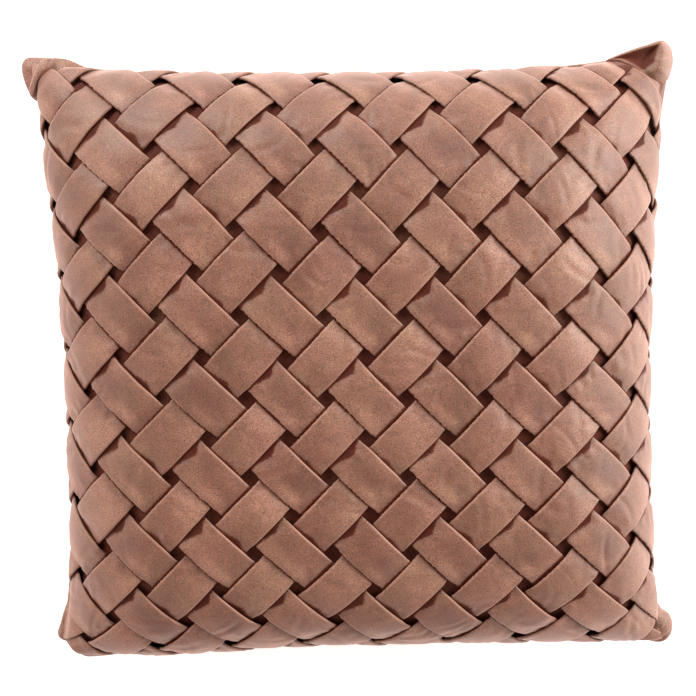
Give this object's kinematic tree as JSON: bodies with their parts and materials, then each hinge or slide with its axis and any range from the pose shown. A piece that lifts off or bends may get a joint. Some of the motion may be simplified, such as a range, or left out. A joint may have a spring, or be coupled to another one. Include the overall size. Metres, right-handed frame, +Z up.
{
  "type": "throw cushion",
  "caption": "Square filled throw cushion with a crowned face of folded velvet strips in a diagonal basket weave, drawn-in sides, four ears and a plain back.",
  "frame": {"origin": "middle of the flat patch that the cushion rests on, under the middle of its back", "axes": "+X across the face, +Y towards the face's upper edge, +Z up out of the face"},
  "size_m": [0.4381, 0.4182, 0.1324],
  "materials": {
    "cover_velvet": "matt short-pile velvet",
    "strip_velvet": "matt short-pile velvet with a soft sheen"
  },
  "bodies": {
    "root": {"filled_body": "cover_velvet", "rising_strip_01": "strip_velvet", "rising_strip_02": "strip_velvet", "rising_strip_03": "strip_velvet", "rising_strip_04": "strip_velvet", "rising_strip_05": "strip_velvet", "rising_strip_06": "strip_velvet", "rising_strip_07": "strip_velvet", "rising_strip_08": "strip_velvet", "rising_strip_09": "strip_velvet", "rising_strip_10": "strip_velvet", "rising_strip_11": "strip_velvet", "rising_strip_12": "strip_velvet", "rising_strip_13": "strip_velvet", "rising_strip_14": "strip_velvet", "rising_strip_15": "strip_velvet", "rising_strip_16": "strip_velvet", "rising_strip_17": "strip_velvet", "falling_strip_01": "strip_velvet", "falling_strip_02": "strip_velvet", "falling_strip_03": "strip_velvet", "falling_strip_04": "strip_velvet", "falling_strip_05": "strip_velvet", "falling_strip_06": "strip_velvet", "falling_strip_07": "strip_velvet", "falling_strip_08": "strip_velvet", "falling_strip_09": "strip_velvet", "falling_strip_10": "strip_velvet", "falling_strip_11": "strip_velvet", "falling_strip_12": "strip_velvet", "falling_strip_13": "strip_velvet", "falling_strip_14": "strip_velvet", "falling_strip_15": "strip_velvet", "falling_strip_16": "strip_velvet", "falling_strip_17": "strip_velvet"}
  },
  "joints": []
}
